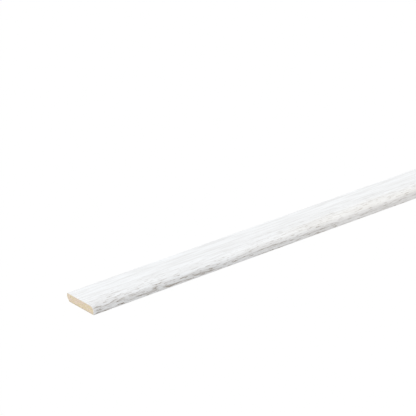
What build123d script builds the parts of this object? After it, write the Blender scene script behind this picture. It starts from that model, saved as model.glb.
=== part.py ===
from build123d import *
import os

# Flat skirting board, lying on its back as loose stock. A thin fibreboard strip has one
# rounded and one back-bevelled long edge. A printed wood-grain film is glued round its face
# and both long edges. The back and the two sawn ends are bare.
#
# The origin is in the middle of the back. X runs along the board, Y across it, from the
# rounded edge to the floor edge, and Z up, from the back to the face. Millimetres.

# Stock, measured over the film
LENGTH = 2400.0
WIDTH = 25.0
THICKNESS = 5.0

# Rounded edge, which is the upper one once the board is on a wall
ROUND_RADIUS = 3.2

# Floor edge: a soft arris at the face, a flat that stands on the floor, and behind it
# a bevel that keeps the back corner clear of an uneven floor
ARRIS_RADIUS = 0.8
FLOOR_FLAT = 2.5
BEVEL_DEPTH = 2.05
KNEE_RADIUS = 0.6

# Printed film, wrapped over everything but the back
FILM_THICKNESS = 0.2

# Finished section over the film, sketched on the left sawn end with Y to the right and Z up
knee_height = THICKNESS - FLOOR_FLAT
with BuildSketch(Plane.YZ.offset(-LENGTH / 2)) as section:
    with BuildLine():
        skin = FilletPolyline(
            (-WIDTH / 2, 0),
            (-WIDTH / 2, THICKNESS),
            (WIDTH / 2, THICKNESS),
            (WIDTH / 2, knee_height),
            (WIDTH / 2 - BEVEL_DEPTH, 0),
            radius=(ROUND_RADIUS, ARRIS_RADIUS, KNEE_RADIUS),
        )
        Line(skin @ 1, skin @ 0)
    make_face()

# Film: a shell of the finished board, open at the back and at both sawn ends
with BuildPart() as decor_film:
    extrude(section.sketch, amount=LENGTH)
    back = decor_film.faces().sort_by(Axis.Z)[0]
    ends = decor_film.faces().filter_by(Axis.X)
    offset(amount=-FILM_THICKNESS, openings=[back, *ends])

# Fibreboard strip: what the film encloses
with BuildPart() as fibreboard_core:
    extrude(section.sketch, amount=LENGTH)
    add(decor_film.part, mode=Mode.SUBTRACT)

os.makedirs("parts", exist_ok=True)

fibreboard_core.part.label = "fibreboard_core"
export_step(fibreboard_core.part, "parts/fibreboard_core.step")

decor_film.part.label = "decor_film"
export_step(decor_film.part, "parts/decor_film.step")
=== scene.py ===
import math

import bpy
import numpy as np
from mathutils import Matrix, Vector


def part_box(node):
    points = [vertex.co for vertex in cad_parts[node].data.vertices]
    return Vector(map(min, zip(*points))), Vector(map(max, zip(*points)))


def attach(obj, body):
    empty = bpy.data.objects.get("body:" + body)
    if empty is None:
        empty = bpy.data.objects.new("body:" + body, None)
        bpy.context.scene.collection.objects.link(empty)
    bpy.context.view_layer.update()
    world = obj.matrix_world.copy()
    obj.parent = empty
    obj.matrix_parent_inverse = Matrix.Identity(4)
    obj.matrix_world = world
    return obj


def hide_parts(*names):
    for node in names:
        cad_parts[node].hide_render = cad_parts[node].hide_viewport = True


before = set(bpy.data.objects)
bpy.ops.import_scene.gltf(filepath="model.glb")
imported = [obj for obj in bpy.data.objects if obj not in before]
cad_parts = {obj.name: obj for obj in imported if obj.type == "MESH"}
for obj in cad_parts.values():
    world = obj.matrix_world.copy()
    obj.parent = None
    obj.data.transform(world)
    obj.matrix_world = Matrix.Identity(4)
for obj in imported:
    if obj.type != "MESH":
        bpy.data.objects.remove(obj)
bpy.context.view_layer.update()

# Fibreboard strip
# The body of the board: medium-density fibreboard, milled to its section and sawn square at
# both ends. Its back and its two ends are bare, and the film hides the rest.
MM = 0.001  # metres
TAN_YELLOW = "#D9CDA9"
TAN_PINK = "#DCC9BD"
TAN_PALE = "#E6DDC9"
TAN_DARK = "#C0B097"
BACK_GREY_PALE = "#B3A997"
BACK_GREY_DARK = "#A29A8D"
TUFT_LENGTH = 1.4  # mm along the pressed layers, drawn coarser than real fibres so that it shows
TUFT_HEIGHT = 0.35  # mm through the layers
MOTTLE_LENGTH = 2.8  # mm, a yellower or pinker cloud of many tufts
MOTTLE_HEIGHT = 0.7  # mm
BACK_GREY_DEPTH = 0.7  # mm from the back, over which the board turns greyer and darker
BACK_GREY_SHARE = 0.75  # how much of its grey shows on the back itself
SANDING_LENGTH = 45.0  # mm, lines that the sanding belt left along the back
SANDING_WIDTH = 0.6  # mm
FUZZ_HEIGHT = 0.04  # mm, how far the saw leaves fibres standing
PALE_TUFTS = (0.5, 0.72)  # levels of the noise, 0 to 1, where pale tufts begin and are palest
DARK_TUFTS = (0.47, 0.28)  # where dark ones begin and are darkest
PINK_MOTTLE = (0.42, 0.58)  # where the tan turns from yellow to pink
DARK_SANDING = (0.35, 0.65)  # where the grey at the back turns from pale to dark
TUFT_DULLNESS = (0.75, 0.95)  # roughness of the darkest and the palest tufts


def linear(code):
    """An sRGB hex colour as linear red, green, blue and alpha."""
    parts = [int(code[i:i + 2], 16) / 255 for i in (1, 3, 5)]
    return [c / 12.92 if c <= 0.04045 else ((c + 0.055) / 1.055) ** 2.4 for c in parts] + [1.0]


def add_node(tree, kind, inputs=None, **settings):
    """Add a node with its settings. An input is a value, a socket, or a node: its first live output."""
    node = tree.nodes.new(kind)
    for name, value in settings.items():
        setattr(node, name, value)
    for name, value in (inputs or {}).items():
        if isinstance(value, bpy.types.Node):
            value = next(output for output in value.outputs if output.enabled)
        if isinstance(value, bpy.types.NodeSocket):
            tree.links.new(value, node.inputs[name])
        else:
            node.inputs[name].default_value = value
    return node


# Medium-density fibreboard, milled and sawn: a pale matte tan, mottled in flat layers by its
# pressed fibres and faintly furred by the saw, greyer and darker towards the back, which has sanding
# lines.
fibreboard = bpy.data.materials.new("fibreboard_milled_and_sawn")
fibreboard.use_nodes = True
tree = fibreboard.node_tree
shader = tree.nodes["Principled BSDF"]
shader.inputs["IOR"].default_value = 1.5
shader.inputs["Specular IOR Level"].default_value = 0.25
place_mm = add_node(tree, "ShaderNodeVectorMath", {
    0: add_node(tree, "ShaderNodeTexCoord").outputs["Object"],
    1: (1 / MM, 1 / MM, 1 / MM),
}, operation="MULTIPLY")
fibres = {}
for name, length, width, height, detail in (
    ("tufts", TUFT_LENGTH, TUFT_LENGTH, TUFT_HEIGHT, 4),
    ("mottle", MOTTLE_LENGTH, MOTTLE_LENGTH, MOTTLE_HEIGHT, 2),
    ("sanding", SANDING_LENGTH, SANDING_WIDTH, BACK_GREY_DEPTH, 3),
):
    fibres[name] = add_node(tree, "ShaderNodeTexNoise", {
        "Vector": add_node(tree, "ShaderNodeVectorMath", {
            0: place_mm,
            1: (1 / length, 1 / width, 1 / height),
        }, operation="MULTIPLY"),
        "Scale": 1.0,
        "Detail": detail,
        "Roughness": 0.6,
    }).outputs["Fac"]
pale_tufts = add_node(tree, "ShaderNodeMapRange", {
    "Value": fibres["tufts"], "From Min": PALE_TUFTS[0], "From Max": PALE_TUFTS[1],
}, interpolation_type="SMOOTHSTEP")
dark_tufts = add_node(tree, "ShaderNodeMapRange", {
    "Value": fibres["tufts"], "From Min": DARK_TUFTS[0], "From Max": DARK_TUFTS[1],
}, interpolation_type="SMOOTHSTEP")
tinted = add_node(tree, "ShaderNodeMix", {
    0: add_node(tree, "ShaderNodeMapRange", {
        "Value": fibres["mottle"], "From Min": PINK_MOTTLE[0], "From Max": PINK_MOTTLE[1],
    }),
    6: linear(TAN_YELLOW),
    7: linear(TAN_PINK),
}, data_type="RGBA")
paler = add_node(tree, "ShaderNodeMix", {
    0: pale_tufts, 6: tinted, 7: linear(TAN_PALE),
}, data_type="RGBA")
darker = add_node(tree, "ShaderNodeMix", {
    0: dark_tufts, 6: paler, 7: linear(TAN_DARK),
}, data_type="RGBA")
# Greyer and darker within 0.7 mm of the back: on the back itself and at the foot of the sawn ends.
back_grey = add_node(tree, "ShaderNodeMapRange", {
    "Value": add_node(tree, "ShaderNodeSeparateXYZ", {0: place_mm}).outputs["Z"],
    "From Min": BACK_GREY_DEPTH,
    "From Max": 0.0,
    "To Max": BACK_GREY_SHARE,
}, interpolation_type="SMOOTHSTEP")
sanded = add_node(tree, "ShaderNodeMix", {
    0: add_node(tree, "ShaderNodeMapRange", {
        "Value": fibres["sanding"], "From Min": DARK_SANDING[0], "From Max": DARK_SANDING[1],
    }),
    6: linear(BACK_GREY_PALE),
    7: linear(BACK_GREY_DARK),
}, data_type="RGBA")
greyed_at_back = add_node(tree, "ShaderNodeMix", {
    0: back_grey, 6: darker, 7: sanded,
}, data_type="RGBA")
tree.links.new(greyed_at_back.outputs[2], shader.inputs["Base Color"])
dullness = add_node(tree, "ShaderNodeMapRange", {
    "Value": fibres["tufts"], "To Min": TUFT_DULLNESS[0], "To Max": TUFT_DULLNESS[1],
})
tree.links.new(dullness.outputs["Result"], shader.inputs["Roughness"])
fuzz = add_node(tree, "ShaderNodeBump", {
    "Strength": 0.6, "Distance": FUZZ_HEIGHT * MM, "Height": fibres["tufts"],
})
tree.links.new(fuzz.outputs["Normal"], shader.inputs["Normal"])

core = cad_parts["fibreboard_core"]
core.data.materials.clear()
core.data.materials.append(fibreboard)

# Wood-grain film
# A thin white plastic film, printed as whitewashed wood and embossed with its grain. It is
# glued round the face and both long edges, and the saw cuts it off flush at the ends.
low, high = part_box("decor_film")
LENGTH = high.x - low.x
WIDTH = high.y - low.y
THICKNESS = high.z - low.z
FILM_THICKNESS = high.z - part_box("fibreboard_core")[1].z
ROUND_RADIUS = 3.2 * MM
ARRIS_RADIUS = 0.8 * MM
KNEE_RADIUS = 0.6 * MM
FLOOR_FLAT = 2.5 * MM
BEVEL_DEPTH = 2.05 * MM
COLUMN_WIDTH = 0.35 * MM  # widest span of the mesh round the section
FEWEST_STEPS = 2.0  # of the mesh round a bend
BEND_STEP = 0.4 * MM  # a bend gets one more step for each of these in its radius
ROWS = 400  # spans of the mesh along the board
CREASE_ANGLE = math.radians(35)  # a sharper turn from face to face is shown as an edge
GROOVE_LENGTH = 55 * MM
GROOVE_WIDTH = 1.5 * MM
GROOVE_DEPTH = 0.05 * MM
GROOVE_LEVELS = (0.55, 0.35)  # levels of the noise where a groove begins and is deepest


def section_corners(inset):
    """Each corner's place across and up and its bend radius, from the bevel's foot to the round's."""
    knee = THICKNESS - FLOOR_FLAT
    bevel = math.atan2(BEVEL_DEPTH, knee)
    edge = WIDTH / 2 - inset
    face = THICKNESS - inset
    return [
        (WIDTH / 2 - BEVEL_DEPTH - inset / math.cos(bevel), 0.0, 0.0),
        (edge, knee + inset * math.tan(bevel / 2), KNEE_RADIUS - inset),
        (edge, face, ARRIS_RADIUS - inset),
        (-edge, face, ROUND_RADIUS - inset),
        (-edge, 0.0, 0.0),
    ]


outside = section_corners(0)
inside = section_corners(FILM_THICKNESS)[::-1]
corners = outside + inside
section = bpy.data.meshes.new("film_section")
section.from_pydata(
    [(across, up, 0) for across, up, bend in corners],
    [(i, (i + 1) % len(corners)) for i in range(len(corners))],
    [],
)
for name, values in (
    ("bend_radius", [bend for across, up, bend in corners]),
    ("outside", [1.0] * len(outside) + [0.0] * len(inside)),
    ("pressed", [0.0] + [1.0] * (len(outside) - 2) + [0.0] + [0.0] * len(inside)),
):
    section.attributes.new(name, "FLOAT", "POINT").data.foreach_set("value", values)
film = bpy.data.objects.new("wood_grain_film", section)
bpy.context.scene.collection.objects.link(film)

# The film's shape: its section with the bends rounded, drawn along the board, and long grooves
# of the grain pressed into its outside, which fade out towards the film's two long edges.
wrap = bpy.data.node_groups.new("wrap_film", "GeometryNodeTree")
wrap.interface.new_socket("Geometry", in_out="OUTPUT", socket_type="NodeSocketGeometry")
sizes = {}
for name, kind, value in (
    ("Geometry", "NodeSocketGeometry", None),
    ("Length", "NodeSocketFloat", LENGTH),
    ("Rows", "NodeSocketInt", ROWS),
    ("Column Width", "NodeSocketFloat", COLUMN_WIDTH),
    ("Bend Step", "NodeSocketFloat", BEND_STEP),
    ("Groove Length", "NodeSocketFloat", GROOVE_LENGTH),
    ("Groove Width", "NodeSocketFloat", GROOVE_WIDTH),
    ("Groove Depth", "NodeSocketFloat", GROOVE_DEPTH),
    ("Material", "NodeSocketMaterial", None),
):
    sizes[name] = (wrap.interface.new_socket(name, in_out="INPUT", socket_type=kind), value)
given = wrap.nodes.new("NodeGroupInput").outputs

bend = add_node(wrap, "GeometryNodeInputNamedAttribute", {"Name": "bend_radius"})
on_outside = add_node(wrap, "GeometryNodeInputNamedAttribute", {"Name": "outside"})
pressed = add_node(wrap, "GeometryNodeInputNamedAttribute", {"Name": "pressed"})
steps = add_node(wrap, "ShaderNodeMath", {0: bend, 1: given["Bend Step"]}, operation="DIVIDE")
bent = add_node(wrap, "GeometryNodeFilletCurve", {
    "Curve": add_node(wrap, "GeometryNodeMeshToCurve", {"Mesh": given["Geometry"]}),
    "Count": add_node(wrap, "ShaderNodeMath", {0: steps, 1: FEWEST_STEPS}, operation="ADD"),
    "Radius": bend,
    "Limit Radius": True,
}, mode="POLY")
here = add_node(wrap, "GeometryNodeInputPosition")
next_point = add_node(wrap, "GeometryNodeOffsetPointInCurve", {
    "Point Index": add_node(wrap, "GeometryNodeInputIndex"), "Offset": 1,
}).outputs["Point Index"]
span = add_node(wrap, "ShaderNodeVectorMath", {
    0: here,
    1: add_node(wrap, "GeometryNodeFieldAtIndex", {
        "Value": here, "Index": next_point,
    }, data_type="FLOAT_VECTOR"),
}, operation="DISTANCE").outputs["Value"]
both_outside = add_node(wrap, "ShaderNodeMath", {
    0: on_outside,
    1: add_node(wrap, "GeometryNodeFieldAtIndex", {"Value": on_outside, "Index": next_point}),
}, operation="MULTIPLY")
profile = add_node(wrap, "GeometryNodeSubdivideCurve", {
    "Curve": bent,
    "Cuts": add_node(wrap, "ShaderNodeMath", {
        0: add_node(wrap, "ShaderNodeMath", {0: span, 1: given["Column Width"]}, operation="DIVIDE"),
        1: both_outside,
    }, operation="MULTIPLY"),
})
profile = add_node(wrap, "GeometryNodeStoreNamedAttribute", {
    "Geometry": profile,
    "Name": "girth",
    "Value": add_node(wrap, "GeometryNodeSplineParameter").outputs["Length"],
})
tangent = add_node(wrap, "ShaderNodeSeparateXYZ", {0: add_node(wrap, "GeometryNodeInputTangent")})
profile = add_node(wrap, "GeometryNodeStoreNamedAttribute", {
    "Geometry": profile,
    "Name": "outward",
    "Value": add_node(wrap, "ShaderNodeCombineXYZ", {
        "Y": tangent.outputs["Y"],
        "Z": add_node(wrap, "ShaderNodeMath", {0: tangent.outputs["X"], 1: -1.0}, operation="MULTIPLY"),
    }),
}, data_type="FLOAT_VECTOR")

half = add_node(wrap, "ShaderNodeMath", {0: given["Length"], 1: 0.5}, operation="MULTIPLY")
path = add_node(wrap, "GeometryNodeCurvePrimitiveLine", {
    "Start": add_node(wrap, "ShaderNodeCombineXYZ", {
        "X": add_node(wrap, "ShaderNodeMath", {0: half, 1: -1.0}, operation="MULTIPLY"),
    }),
    "End": add_node(wrap, "ShaderNodeCombineXYZ", {"X": half}),
})
path = add_node(wrap, "GeometryNodeResampleCurve", {
    "Curve": path,
    "Count": add_node(wrap, "ShaderNodeMath", {0: given["Rows"], 1: 1.0}, operation="ADD"),
})
path = add_node(wrap, "GeometryNodeSetCurveNormal", {"Curve": path, "Normal": (0, 1, 0)}, mode="FREE")
wrapped = add_node(wrap, "GeometryNodeCurveToMesh", {
    "Curve": path, "Profile Curve": profile, "Fill Caps": True,
})

along = add_node(wrap, "ShaderNodeSeparateXYZ", {0: here}).outputs["X"]
girth = add_node(wrap, "GeometryNodeInputNamedAttribute", {"Name": "girth"})
wrapped = add_node(wrap, "GeometryNodeStoreNamedAttribute", {
    "Geometry": wrapped,
    "Name": "film_run",
    "Value": add_node(wrap, "ShaderNodeCombineXYZ", {"X": along, "Y": girth}),
}, data_type="FLOAT_VECTOR")
groove_run = add_node(wrap, "ShaderNodeCombineXYZ", {
    "X": add_node(wrap, "ShaderNodeMath", {0: along, 1: given["Groove Length"]}, operation="DIVIDE"),
    "Y": add_node(wrap, "ShaderNodeMath", {0: girth, 1: given["Groove Width"]}, operation="DIVIDE"),
})
grooves = add_node(wrap, "ShaderNodeMapRange", {
    "Value": add_node(wrap, "ShaderNodeTexNoise", {"Vector": groove_run, "Scale": 1.0, "Detail": 1.0}),
    "From Min": GROOVE_LEVELS[0],
    "From Max": GROOVE_LEVELS[1],
}, interpolation_type="SMOOTHSTEP")
depth = add_node(wrap, "ShaderNodeMath", {
    0: add_node(wrap, "ShaderNodeMath", {0: grooves, 1: pressed}, operation="MULTIPLY"),
    1: add_node(wrap, "ShaderNodeMath", {0: given["Groove Depth"], 1: -1.0}, operation="MULTIPLY"),
}, operation="MULTIPLY")
outward = add_node(wrap, "GeometryNodeInputNamedAttribute", {
    "Name": "outward",
}, data_type="FLOAT_VECTOR")
embossed = add_node(wrap, "GeometryNodeSetPosition", {
    "Geometry": wrapped,
    "Offset": add_node(wrap, "ShaderNodeVectorMath", {0: outward, "Scale": depth}, operation="SCALE"),
})
smooth = add_node(wrap, "GeometryNodeSetShadeSmooth", {"Geometry": embossed, "Shade Smooth": True})
creased = add_node(wrap, "GeometryNodeSetShadeSmooth", {
    "Geometry": smooth,
    "Selection": add_node(wrap, "FunctionNodeCompare", {
        0: add_node(wrap, "GeometryNodeInputMeshEdgeAngle").outputs["Unsigned Angle"],
        1: CREASE_ANGLE,
    }, operation="GREATER_THAN"),
    "Shade Smooth": False,
}, domain="EDGE")
finished = add_node(wrap, "GeometryNodeSetMaterial", {
    "Geometry": add_node(wrap, "GeometryNodeRealizeInstances", {"Geometry": creased}),
    "Material": given["Material"],
})
wrap.links.new(finished.outputs[0], wrap.nodes.new("NodeGroupOutput").inputs[0])

# Whitewashed wood print on plastic film, embossed and satin: a cool white face with long faint
# grey streaks, and brown wavy rings, flecks and pores that gather on the rounded edge. They are
# strong on a bluish white where the whitewash is thin, and pale on a warm white where it is thick.
# Their gathering on the rounded edge, over a darker white, is partly print and partly painted shade
# on the side that turns from the lamp, and their fading up the lit face is partly a painted highlight.
WHITE = "#F6F8FA"
WHITE_WARM = "#F6F5F2"
# The rounded edge's white where the wash is thin: bluer as print, darker as painted shade.
THIN_WASH_AND_SHADE = "#F0F1F2"
WASH_THICK = "#F7F6F5"
GRAIN_BROWN = "#82725E"
PRINT_START = 21569.0  # mm along the printed roll at the middle of the board
RING_SPACING = 2.1  # mm across the grain from one dark ring to the next
RING_WIDTH = 0.6  # mm
UNEVEN_LINES = 1.5  # mm across the grain, the size of the softer lines between the rings
DRIFT = 11.0  # mm, how far the grain may wander across the film
RIPPLE = 3.4  # mm, how far it may ripple on the way
FADED_AT = 12.0  # mm round from the bevel's foot, where the rings have faded out on the face
FULL_AT = 32.0  # mm round, where they reach their full strength on the rounded edge
FADE_POWER = 3.0  # how steeply they fade between the two
FAINT_SHARE = 0.12  # how much of their strength they reach above the edge line
EDGE_LINE = 29.4  # mm round, where the rings turn strong on the rounded edge, partly as painted shade
EDGE_BLUR = 0.35  # mm to either side
EDGE_WAVE = 3.0  # mm, how far that line may swing
RING_SHARE = 0.35  # how much of a ring is the grain's own brown, where the wash is thin
COVERED_RINGS = 0.15  # and where it is thick
FACE_RINGS = 0.02  # and up on the face
FLECK_SHARE = 0.42  # how much of a fleck is brown
COVERED_FLECKS = 0.2  # and on the rounded edge, where the wash is thick
FLECK_POWER = 1.5  # how steeply the flecks fade up the face
PORE_SHARE = 0.7  # how far fine pores lighten or darken the rings and flecks that they break up
STREAK_SHARE = 0.12  # how much brown is in a brush streak
BAND_SHARES = (-0.048, 0.072)  # how far the long bands lighten and darken the film
LEAST_PATCH = 0.1  # what is left of the rings between their patches
PATCH_LEVELS = (0.4, 0.62)  # levels of the noise where a patch of rings begins and is strongest
LINE_LEVELS = (0.48, 0.38)  # the same for the softer lines
FLECK_LEVELS = (0.55, 0.65)
PORE_LEVELS = (0.35, 0.65)
STREAK_LEVELS = (0.58, 0.4)
WASH_LEVELS = (0.4, 0.6)  # from thin to thick
WARM_REACH = (0.5, 0.9)  # of the way to the rounded edge, where warm white begins and is full
LEAST_WARMTH = 0.1  # up on the face
SATIN = (0.46, 0.7)  # roughness of the clean white and of the darkest marks
EMBOSS_DEPTH = 0.03  # mm, fine relief pressed in step with the print

print_film = bpy.data.materials.new("whitewashed_wood_print_film")
print_film.use_nodes = True
tree = print_film.node_tree
shader = tree.nodes["Principled BSDF"]
shader.inputs["IOR"].default_value = 1.5
run_mm = add_node(tree, "ShaderNodeVectorMath", {
    0: add_node(tree, "ShaderNodeAttribute", attribute_name="film_run").outputs["Vector"],
    1: (1 / MM, 1 / MM, 1 / MM),
    2: (PRINT_START, 0, 0),
}, operation="MULTIPLY_ADD")
girth_mm = add_node(tree, "ShaderNodeSeparateXYZ", {0: run_mm}).outputs["Y"]
fields = {}
for name, length, width, detail in (  # mm along the grain, mm across it, octaves of finer detail
    ("drift", 50, 16, 1),
    ("ripple", 12, 4, 1),
    ("patches", 40, 2, 1),
    ("streaks", 30, 1.4, 4),
    ("flecks", 6, 0.9, 5),
    ("pores", 9, 0.3, 4),
    ("bands", 140, 5, 2),
    ("wash_and_shade", 420, 60, 0),
):
    fields[name] = add_node(tree, "ShaderNodeTexNoise", {
        "Vector": add_node(tree, "ShaderNodeVectorMath", {
            0: run_mm, 1: (1 / length, 1 / width, 1),
        }, operation="MULTIPLY"),
        "Scale": 1.0,
        "Detail": detail,
    }, noise_dimensions="2D").outputs["Fac"]

# Where the grain runs, how strongly it shows there, and how thick the whitewash is. The strength is
# partly painted shade on the rounded edge and partly a painted highlight on the face.
drifted = add_node(tree, "ShaderNodeMath", {
    0: fields["drift"], 1: DRIFT, 2: girth_mm,
}, operation="MULTIPLY_ADD")
grain_mm = add_node(tree, "ShaderNodeMath", {
    0: fields["ripple"], 1: RIPPLE, 2: drifted,
}, operation="MULTIPLY_ADD")
toward_round = add_node(tree, "ShaderNodeMapRange", {
    "Value": drifted, "From Min": FADED_AT + DRIFT / 2, "From Max": FULL_AT + DRIFT / 2,
})
faint = add_node(tree, "ShaderNodeMath", {0: toward_round, 1: FADE_POWER}, operation="POWER")
on_edge = add_node(tree, "ShaderNodeMapRange", {
    "Value": add_node(tree, "ShaderNodeMath", {
        0: fields["ripple"], 1: EDGE_WAVE, 2: girth_mm,
    }, operation="MULTIPLY_ADD"),
    "From Min": EDGE_LINE + EDGE_WAVE / 2 - EDGE_BLUR,
    "From Max": EDGE_LINE + EDGE_WAVE / 2 + EDGE_BLUR,
    "To Max": 1 - FAINT_SHARE,
}, interpolation_type="SMOOTHSTEP")
# Partly painted shade: the marks grow strong on the rounded edge that turns from the lamp.
print_and_shade_strength = add_node(tree, "ShaderNodeMath", {
    0: faint, 1: FAINT_SHARE, 2: on_edge,
}, operation="MULTIPLY_ADD")
covered = add_node(tree, "ShaderNodeMapRange", {
    "Value": fields["wash_and_shade"], "From Min": WASH_LEVELS[0], "From Max": WASH_LEVELS[1],
})

# Rings in patches, with softer lines between them.
patches = add_node(tree, "ShaderNodeMapRange", {
    "Value": fields["patches"],
    "From Min": PATCH_LEVELS[0],
    "From Max": PATCH_LEVELS[1],
    "To Min": LEAST_PATCH,
}, interpolation_type="SMOOTHSTEP")
rings = add_node(tree, "ShaderNodeMapRange", {
    "Value": add_node(tree, "ShaderNodeMath", {0: grain_mm, 1: RING_SPACING / 2}, operation="PINGPONG"),
    "From Min": RING_WIDTH / 2,
    "From Max": 0.0,
}, interpolation_type="SMOOTHSTEP")
lines = add_node(tree, "ShaderNodeMapRange", {
    "Value": add_node(tree, "ShaderNodeTexNoise", {
        "W": grain_mm, "Scale": 1 / UNEVEN_LINES, "Detail": 3.0, "Roughness": 0.6,
    }, noise_dimensions="1D"),
    "From Min": LINE_LEVELS[0],
    "From Max": LINE_LEVELS[1],
}, interpolation_type="SMOOTHSTEP")
grain = add_node(tree, "ShaderNodeMath", {
    0: add_node(tree, "ShaderNodeMath", {0: rings, 1: lines}, operation="MAXIMUM"),
    1: patches,
}, operation="MULTIPLY")
ring_share = add_node(tree, "ShaderNodeMapRange", {
    "Value": covered, "To Min": RING_SHARE, "To Max": COVERED_RINGS,
})

# Flecks beside them, and pores that break up both.
flecks = add_node(tree, "ShaderNodeMath", {
    0: add_node(tree, "ShaderNodeMapRange", {
        "Value": fields["flecks"], "From Min": FLECK_LEVELS[0], "From Max": FLECK_LEVELS[1],
    }, interpolation_type="SMOOTHSTEP"),
    1: add_node(tree, "ShaderNodeMath", {0: toward_round, 1: FLECK_POWER}, operation="POWER"),
}, operation="MULTIPLY")
fleck_share = add_node(tree, "ShaderNodeMapRange", {
    "Value": add_node(tree, "ShaderNodeMath", {0: covered, 1: print_and_shade_strength}, operation="MULTIPLY"),
    "To Min": FLECK_SHARE,
    "To Max": COVERED_FLECKS,
})
marks = add_node(tree, "ShaderNodeMath", {
    0: grain,
    1: add_node(tree, "ShaderNodeMath", {
        0: print_and_shade_strength, 1: ring_share, 2: FACE_RINGS,
    }, operation="MULTIPLY_ADD"),
    2: add_node(tree, "ShaderNodeMath", {0: flecks, 1: fleck_share}, operation="MULTIPLY"),
}, operation="MULTIPLY_ADD")
pores = add_node(tree, "ShaderNodeMapRange", {
    "Value": fields["pores"],
    "From Min": PORE_LEVELS[0],
    "From Max": PORE_LEVELS[1],
    "To Min": 1 - PORE_SHARE,
    "To Max": 1 + PORE_SHARE,
})
marks = add_node(tree, "ShaderNodeMath", {0: marks, 1: pores}, operation="MULTIPLY")

# Brush streaks and long faint bands over the whole film.
streaks = add_node(tree, "ShaderNodeMapRange", {
    "Value": fields["streaks"],
    "From Min": STREAK_LEVELS[0],
    "From Max": STREAK_LEVELS[1],
    "To Max": STREAK_SHARE,
})
bands = add_node(tree, "ShaderNodeMapRange", {
    "Value": fields["bands"], "To Min": BAND_SHARES[0], "To Max": BAND_SHARES[1],
})
marks = add_node(tree, "ShaderNodeMath", {0: marks, 1: streaks}, operation="ADD")
marks = add_node(tree, "ShaderNodeMath", {0: marks, 1: bands}, operation="ADD", use_clamp=True)

# The white ground: cool, warmer towards the rounded edge where the whitewash is thick, and the
# wash's own white on the edge itself, darker and bluer where thin: partly print, partly painted shade.
warmth = add_node(tree, "ShaderNodeMath", {
    0: covered,
    1: add_node(tree, "ShaderNodeMapRange", {
        "Value": toward_round,
        "From Min": WARM_REACH[0],
        "From Max": WARM_REACH[1],
        "To Min": LEAST_WARMTH,
    }),
}, operation="MULTIPLY")
ground = add_node(tree, "ShaderNodeMix", {
    0: warmth, 6: linear(WHITE), 7: linear(WHITE_WARM),
}, data_type="RGBA")
wash_and_shade = add_node(tree, "ShaderNodeMix", {
    0: covered, 6: linear(THIN_WASH_AND_SHADE), 7: linear(WASH_THICK),
}, data_type="RGBA")
# Partly painted shade: the rounded edge's ground turns to the darker wash white.
washed_and_shaded = add_node(tree, "ShaderNodeMix", {
    0: print_and_shade_strength, 6: ground, 7: wash_and_shade,
}, data_type="RGBA")
printed = add_node(tree, "ShaderNodeMix", {
    0: marks, 6: washed_and_shaded, 7: linear(GRAIN_BROWN),
}, data_type="RGBA")
tree.links.new(printed.outputs[2], shader.inputs["Base Color"])
satin = add_node(tree, "ShaderNodeMapRange", {"Value": marks, "To Min": SATIN[0], "To Max": SATIN[1]})
tree.links.new(satin.outputs["Result"], shader.inputs["Roughness"])
relief = add_node(tree, "ShaderNodeBump", {
    "Strength": 0.5, "Distance": EMBOSS_DEPTH * MM, "Height": marks,
}, invert=True)
tree.links.new(relief.outputs["Normal"], shader.inputs["Normal"])

modifier = film.modifiers.new("wrap", "NODES")
modifier.node_group = wrap
for name, (socket, value) in sizes.items():
    if value is not None:
        modifier[socket.identifier] = value
modifier[sizes["Material"][0].identifier] = print_film
evaluated = film.evaluated_get(bpy.context.evaluated_depsgraph_get())
film_mesh = bpy.data.meshes.new_from_object(evaluated)
film.modifiers.remove(modifier)
film.data = film_mesh

# The film's own map for a baked picture of its look: eight equal lengths, one above the other, so
# that the print keeps its fine grain. The hidden inside and the two sawn edges get narrow bands.
LENGTHS = 8
MAP_RIM = 0.004  # of the map's width, left bare at both ends of a length
OUTSIDE_BAND = (0.02, 0.84)  # of a length's height on the map
INSIDE_BAND = (0.855, 0.895)
FOOT_END = 0.915  # where the film's narrow foot at the bevel ends, above its inside
SAWN_BAND = (0.925, 0.96)
SAWN_BULGE = 0.015  # how far a sawn edge's outer side is arched, so that no triangle of it is flat
FACE_SIDES = 4  # of every face but the two sawn edges
corner_vertex = np.zeros(len(film_mesh.loops), np.int32)
film_mesh.loops.foreach_get("vertex_index", corner_vertex)
face_corners = np.zeros(len(film_mesh.polygons), np.int32)
film_mesh.polygons.foreach_get("loop_total", face_corners)
first_corner = np.cumsum(face_corners) - face_corners
film_run = np.zeros(3 * len(film_mesh.vertices))
film_mesh.attributes["film_run"].data.foreach_get("vector", film_run)
is_outside = np.zeros(len(film_mesh.vertices))
film_mesh.attributes["outside"].data.foreach_get("value", is_outside)
girths = film_run[1::3]
outside_end = girths[is_outside > 0.5].max()
inside_start = outside_end + FILM_THICKNESS
inside_end = girths.max()
whole_girth = inside_end + math.dist(corners[-1][:2], corners[0][:2])

corner_along = film_run[0::3][corner_vertex] / LENGTH + 0.5
corner_girth = girths[corner_vertex]
on_sawn_edge = np.repeat(face_corners > FACE_SIDES, face_corners)

# The foot at the bevel closes the section, so its outer corners come last there, not first.
reaches_inside = np.maximum.reduceat(corner_girth, first_corner) > inside_start
foot_corner = np.repeat(reaches_inside, face_corners) & (corner_girth < FILM_THICKNESS / 2)
corner_girth[foot_corner & ~on_sawn_edge] = whole_girth

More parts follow.
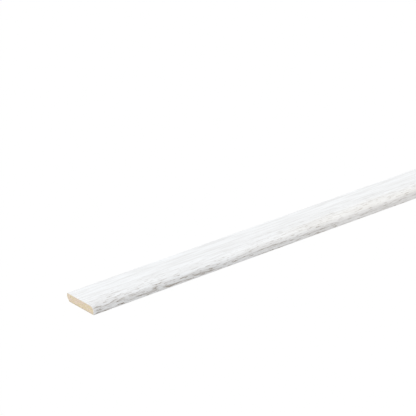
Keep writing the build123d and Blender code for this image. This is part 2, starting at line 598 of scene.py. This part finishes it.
# Each face lies on the length that its middle is in, and each sawn edge on the nearest one.
middle = np.repeat(np.add.reduceat(corner_along, first_corner) / face_corners, face_corners)
length_number = np.clip(np.floor(middle * LENGTHS), 0, LENGTHS - 1)
share_along = corner_along * LENGTHS - length_number
share_up = np.interp(
    corner_girth,
    (0, outside_end, inside_start, inside_end, whole_girth),
    (*OUTSIDE_BAND, *INSIDE_BAND, FOOT_END),
)
sawn_along = np.interp(corner_girth, (0, outside_end, inside_start, inside_end), (0, 1, 1, 0))
sawn_up = np.where(
    corner_girth < (outside_end + inside_start) / 2,
    SAWN_BAND[1] + SAWN_BULGE * 4 * sawn_along * (1 - sawn_along),
    SAWN_BAND[0],
)
map_places = np.stack([
    MAP_RIM + (1 - 2 * MAP_RIM) * np.where(on_sawn_edge, sawn_along, share_along),
    (length_number + np.where(on_sawn_edge, sawn_up, share_up)) / LENGTHS,
], 1)
film_mesh.uv_layers.new(name="OFBake").uv.foreach_set("vector", map_places.ravel())
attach(film, "root")
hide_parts("decor_film")

# Studio
# A white paper floor under the board, an even white sky and one broad soft lamp from above the
# sawn end, and the camera that took the photograph.
FLOOR_SIDE = 80.0  # metres
PAPER = "#F4F4F4"  # what the floor throws back on the board
SHOWN_WHITE = "#FFFFFF"  # what the camera and reflections see of it
SHADOW_SHARE = 0.15  # how much of the board's shadow shows on it
SKY_STRENGTH = 0.6
LAMP_STRENGTH = 0.5
LAMP_SPREAD = math.radians(30)
LAMP_FROM = Vector((-0.54, 0.12, 0.82))


def shown(tree):
    """1 for rays that show the background itself: the camera's, and those in gloss or glass."""
    light_path = add_node(tree, "ShaderNodeLightPath").outputs
    return add_node(tree, "ShaderNodeMath", {
        0: light_path["Is Camera Ray"],
        1: add_node(tree, "ShaderNodeMath", {
            0: light_path["Is Glossy Ray"], 1: light_path["Is Transmission Ray"],
        }, operation="MAXIMUM"),
    }, operation="MAXIMUM")


reach = FLOOR_SIDE / 2
floor_mesh = bpy.data.meshes.new("studio_floor")
floor_mesh.from_pydata(
    [(-reach, -reach, low.z), (reach, -reach, low.z), (reach, reach, low.z), (-reach, reach, low.z)],
    [],
    [(0, 1, 2, 3)],
)
floor = bpy.data.objects.new("studio_floor", floor_mesh)
bpy.context.scene.collection.objects.link(floor)
paper = bpy.data.materials.new("white_paper_floor")
paper.use_nodes = True
tree = paper.node_tree
tree.nodes.clear()
floor_shown = shown(tree)
lit = add_node(tree, "ShaderNodeBsdfDiffuse", {
    "Color": add_node(tree, "ShaderNodeMix", {
        0: floor_shown, 6: linear(PAPER), 7: linear(SHOWN_WHITE),
    }, data_type="RGBA"),
})
white = add_node(tree, "ShaderNodeEmission", {"Color": linear(SHOWN_WHITE), "Strength": 1.0})
surface = add_node(tree, "ShaderNodeMixShader", {
    0: add_node(tree, "ShaderNodeMath", {0: floor_shown, 1: 1 - SHADOW_SHARE}, operation="MULTIPLY"),
    1: lit,
    2: white,
})
add_node(tree, "ShaderNodeOutputMaterial", {"Surface": surface})
floor_mesh.materials.append(paper)

world = bpy.data.worlds.new("studio_sky")
world.use_nodes = True
tree = world.node_tree
tree.nodes.clear()
sky = add_node(tree, "ShaderNodeBackground", {"Color": linear(SHOWN_WHITE), "Strength": SKY_STRENGTH})
backdrop = add_node(tree, "ShaderNodeBackground", {"Color": linear(SHOWN_WHITE), "Strength": 1.0})
surface = add_node(tree, "ShaderNodeMixShader", {0: shown(tree), 1: sky, 2: backdrop})
add_node(tree, "ShaderNodeOutputWorld", {"Surface": surface})
bpy.context.scene.world = world

lamp = bpy.data.lights.new("soft_lamp", "SUN")
lamp.energy = LAMP_STRENGTH * math.pi
lamp.angle = LAMP_SPREAD
lamp_object = bpy.data.objects.new("soft_lamp", lamp)
lamp_object.rotation_euler = LAMP_FROM.to_track_quat("Z", "Y").to_euler()
bpy.context.scene.collection.objects.link(lamp_object)

PHOTO_SIDE = 416  # pixels
FOCAL_LENGTH = 3543.9  # pixels
AZIMUTH = math.radians(-39.70)
ELEVATION = math.radians(24.843)
CORNER_PIXEL = (93.65, 315.15)  # where the near foot of the sawn end shows
CORNER_DEPTH = 2.0304  # metres before the camera
SENSOR = 36.0  # mm
FARTHEST_SHOWN = 200.0  # metres
right = Vector((math.cos(AZIMUTH), math.sin(AZIMUTH), 0))
back = Vector((
    math.sin(AZIMUTH) * math.cos(ELEVATION),
    -math.cos(AZIMUTH) * math.cos(ELEVATION),
    math.sin(ELEVATION),
))
up = back.cross(right)
to_corner = (
    right * (CORNER_PIXEL[0] - PHOTO_SIDE / 2) + up * (PHOTO_SIDE / 2 - CORNER_PIXEL[1])
) / FOCAL_LENGTH - back
camera = bpy.data.cameras.new("camera")
camera.sensor_width = SENSOR
camera.lens = FOCAL_LENGTH / PHOTO_SIDE * SENSOR
camera.clip_end = FARTHEST_SHOWN
camera_object = bpy.data.objects.new("camera", camera)
camera_object.matrix_world = (
    Matrix.Translation(low - CORNER_DEPTH * to_corner)
    @ Matrix((right, up, back)).transposed().to_4x4()
)
bpy.context.scene.collection.objects.link(camera_object)
bpy.context.scene.camera = camera_object
bpy.context.scene.view_settings.view_transform = "Standard"
